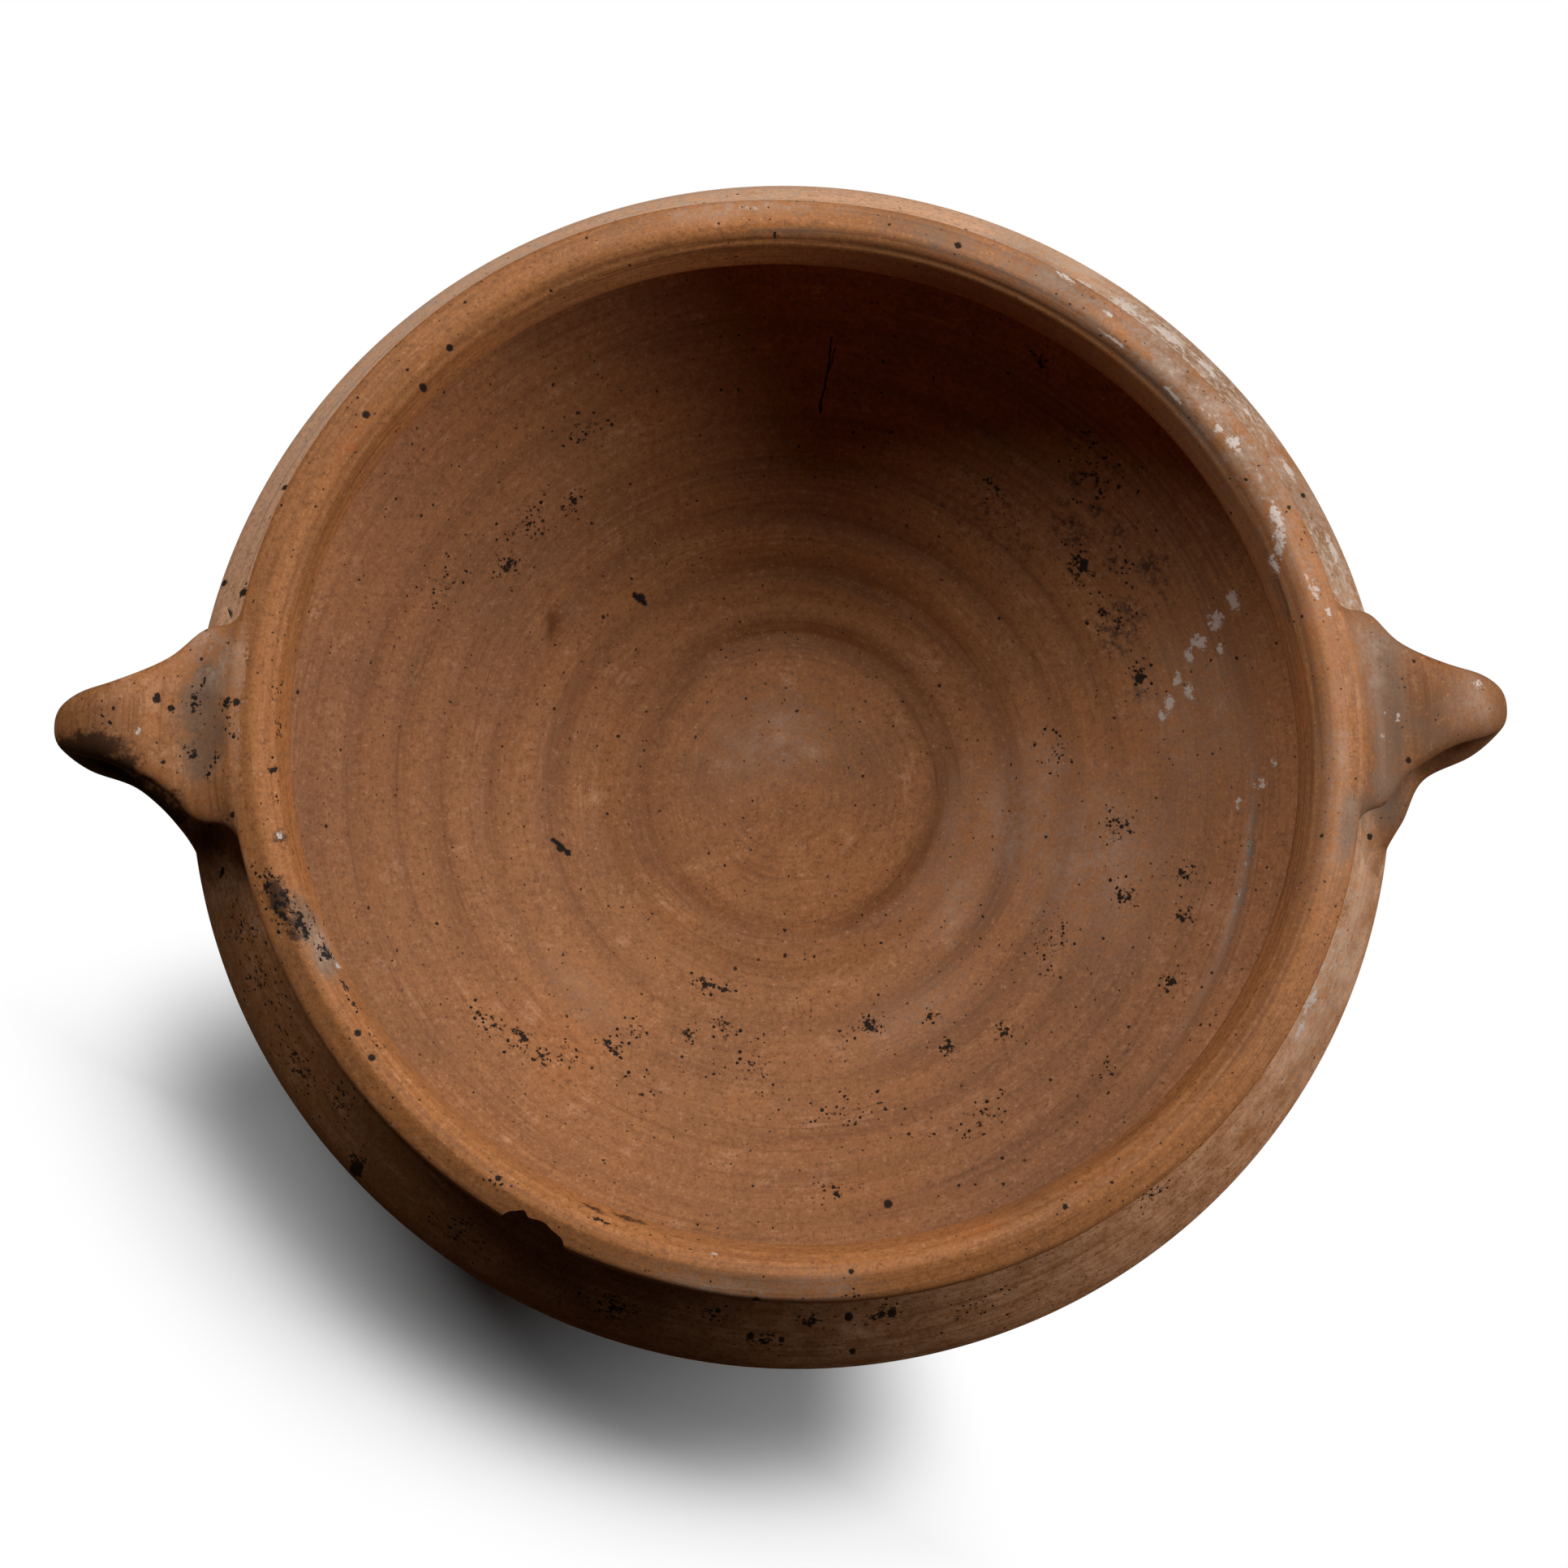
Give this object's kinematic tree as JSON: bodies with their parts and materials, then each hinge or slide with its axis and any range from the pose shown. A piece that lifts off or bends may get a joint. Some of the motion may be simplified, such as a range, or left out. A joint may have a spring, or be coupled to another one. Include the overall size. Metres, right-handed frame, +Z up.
{
  "type": "biconical bowl",
  "caption": "Wheel-thrown fired clay bowl of two cones meeting at the belly, with a grooved everted lip and vertical strap handles at the sides.",
  "frame": {"origin": "middle of the flat base that the bowl rests on", "axes": "+Z up out of the mouth, +X towards the right handle, +Y away from the picture's viewer"},
  "size_m": [0.3204, 0.268, 0.102],
  "materials": {
    "base_clay": "unglazed fired clay, turned smooth",
    "wall_clay": "unglazed fired clay with throwing ridges",
    "shoulder_clay": "unglazed fired clay, wiped, with lime deposit",
    "lip_clay": "unglazed fired clay, worn, with lime deposit",
    "handle_clay": "unglazed fired clay, smoothed by fingers"
  },
  "bodies": {
    "root": {"base_disc": "base_clay", "lower_wall": "wall_clay", "upper_wall": "shoulder_clay", "lip": "lip_clay", "handle_left": "handle_clay", "handle_right": "handle_clay"}
  },
  "joints": []
}
